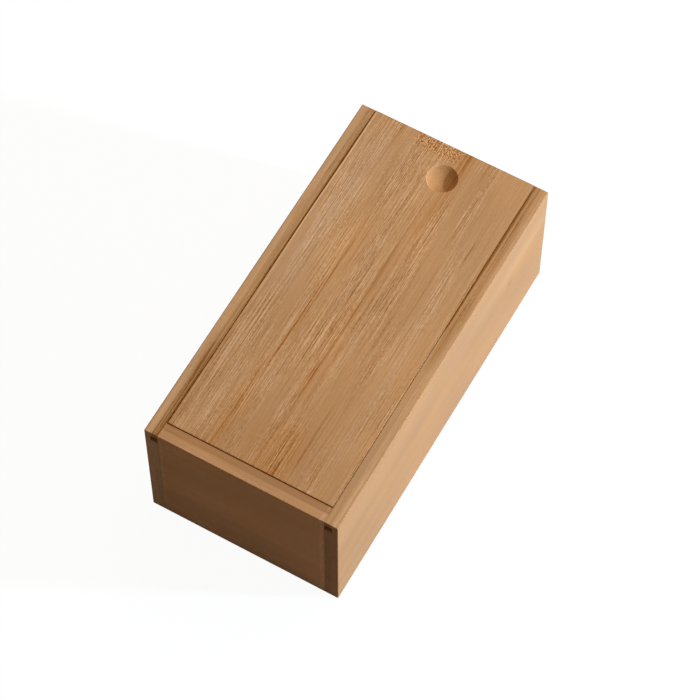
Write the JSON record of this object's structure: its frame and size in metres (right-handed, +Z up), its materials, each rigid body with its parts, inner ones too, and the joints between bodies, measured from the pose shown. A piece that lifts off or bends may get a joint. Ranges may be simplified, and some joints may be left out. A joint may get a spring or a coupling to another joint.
{
  "type": "brush box with sliding lid",
  "caption": "Long bamboo box of glued boards with a flush lid that slides out of grooves at one end; a round finger scoop in the lid is there to push it by.",
  "frame": {"origin": "middle of the underside of the closed box, in the plane of the boards' lower edges that it stands on", "axes": "+X to the right across the box, +Y along its length towards the open end that the lid draws out of, +Z up"},
  "size_m": [0.1, 0.2, 0.075],
  "materials": {
    "bamboo_boards": "laminated bamboo, sanded fine and sealed matt",
    "bamboo_panel": "laminated bamboo, sanded, unsealed inside",
    "bamboo_lid": "carbonised laminated bamboo, sanded fine and sealed matt"
  },
  "bodies": {
    "box": {"left_side": "bamboo_boards", "right_side": "bamboo_boards", "front_board": "bamboo_boards", "rear_board": "bamboo_boards", "bottom_panel": "bamboo_panel"},
    "lid": {"lid": "bamboo_lid"}
  },
  "joints": [
    {"name": "lid_slide", "type": "slide", "parent": "box", "child": "lid", "axis": [0, 1, 0], "range_m": [0, 0.2]}
  ]
}
